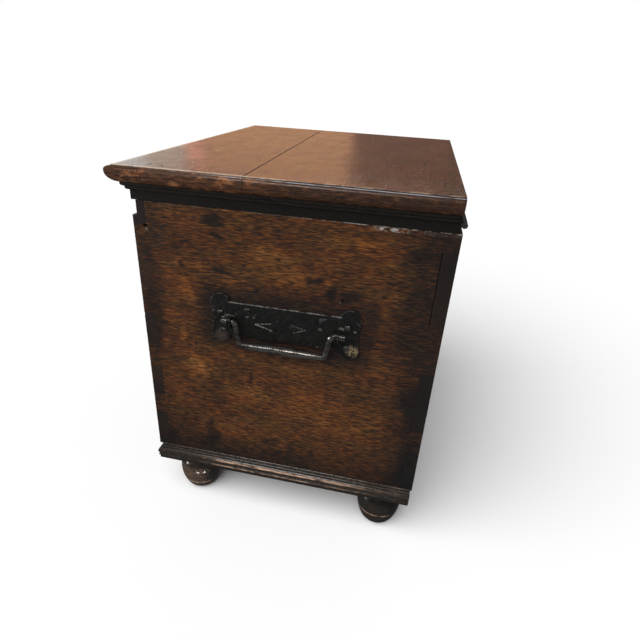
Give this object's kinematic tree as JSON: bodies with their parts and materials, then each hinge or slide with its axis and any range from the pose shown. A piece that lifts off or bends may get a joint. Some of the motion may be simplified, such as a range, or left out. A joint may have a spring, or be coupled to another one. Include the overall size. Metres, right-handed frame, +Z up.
{
  "type": "bible box on stand",
  "caption": "Dovetailed oak bible box with a thumb-moulded hinged lid and iron drop handles on its ends, on a low moulded stand with turned bun feet.",
  "frame": {"origin": "on the floor, under the middle of the whole object's box", "axes": "+X towards the right-hand end with its handle, -Y towards the front with the lock, +Z up"},
  "size_m": [0.5374, 0.4122, 0.5024],
  "materials": {
    "oak_case": "waxed oak, worn and darkened",
    "oak_inside": "dry oak",
    "oak_lid": "polished old oak",
    "oak_moulding": "dark waxed oak, worn on its edges",
    "oak_rail": "dark oak",
    "oak_foot": "dark polished turned oak",
    "iron_nail": "forged, blackened",
    "iron_bail": "forged, worn bright where it is held",
    "iron_plate": "forged, blackened",
    "iron_hinge": "forged, blackened",
    "iron_lock": "forged, blackened"
  },
  "bodies": {
    "case": {"front_board": "oak_case", "back_board": "oak_case", "right_end_board": "oak_case", "left_end_board": "oak_case", "bottom_board_front": "oak_inside", "bottom_board_back": "oak_inside", "stand_front_rail": "oak_rail", "stand_back_rail": "oak_rail", "stand_right_rail": "oak_rail", "stand_left_rail": "oak_rail", "stand_front_moulding": "oak_moulding", "stand_right_moulding": "oak_moulding", "stand_left_moulding": "oak_moulding", "front_right_foot": "oak_foot", "back_right_foot": "oak_foot", "front_left_foot": "oak_foot", "back_left_foot": "oak_foot", "stand_nails": "iron_nail", "case_hinge_nails": "iron_nail", "escutcheon": "iron_lock", "escutcheon_nails": "iron_nail", "lock_case": "iron_lock", "right_handle_plate": "iron_plate", "right_front_eye": "iron_plate", "right_back_eye": "iron_plate", "right_plate_nails": "iron_nail", "right_hinge_case_leaf": "iron_hinge", "right_hinge_pin": "iron_hinge", "left_handle_plate": "iron_plate", "left_front_eye": "iron_plate", "left_back_eye": "iron_plate", "left_plate_nails": "iron_nail", "left_hinge_case_leaf": "iron_hinge", "left_hinge_pin": "iron_hinge"},
    "lid": {"lid_board_front": "oak_lid", "lid_board_back": "oak_lid", "lid_front_moulding": "oak_moulding", "lid_right_moulding": "oak_moulding", "lid_left_moulding": "oak_moulding", "lid_back_rail": "oak_rail", "right_hinge_lid_leaf": "iron_hinge", "left_hinge_lid_leaf": "iron_hinge", "lid_hinge_nails": "iron_nail", "lid_staple": "iron_lock"},
    "right_bail": {"right_bail": "iron_bail"},
    "left_bail": {"left_bail": "iron_bail"},
    "lock_bolt": {"lock_bolt": "iron_lock"}
  },
  "joints": [
    {"name": "lid_hinge", "type": "hinge", "parent": "case", "child": "lid", "pos_m": [0, 0.20255, 0.46125], "axis": [-1, 0, 0], "range_deg": [0, 105]},
    {"name": "right_bail_swing", "type": "hinge", "parent": "case", "child": "right_bail", "pos_m": [0.2605, 0.00555, 0.322], "axis": [0, -1, 0], "range_deg": [-5, 180]},
    {"name": "left_bail_swing", "type": "hinge", "parent": "case", "child": "left_bail", "pos_m": [-0.2605, 0.00555, 0.322], "axis": [0, 1, 0], "range_deg": [-5, 180]},
    {"name": "bolt_throw", "type": "slide", "parent": "case", "child": "lock_bolt", "axis": [-1, 0, 0], "range_m": [0, 0.012]}
  ]
}
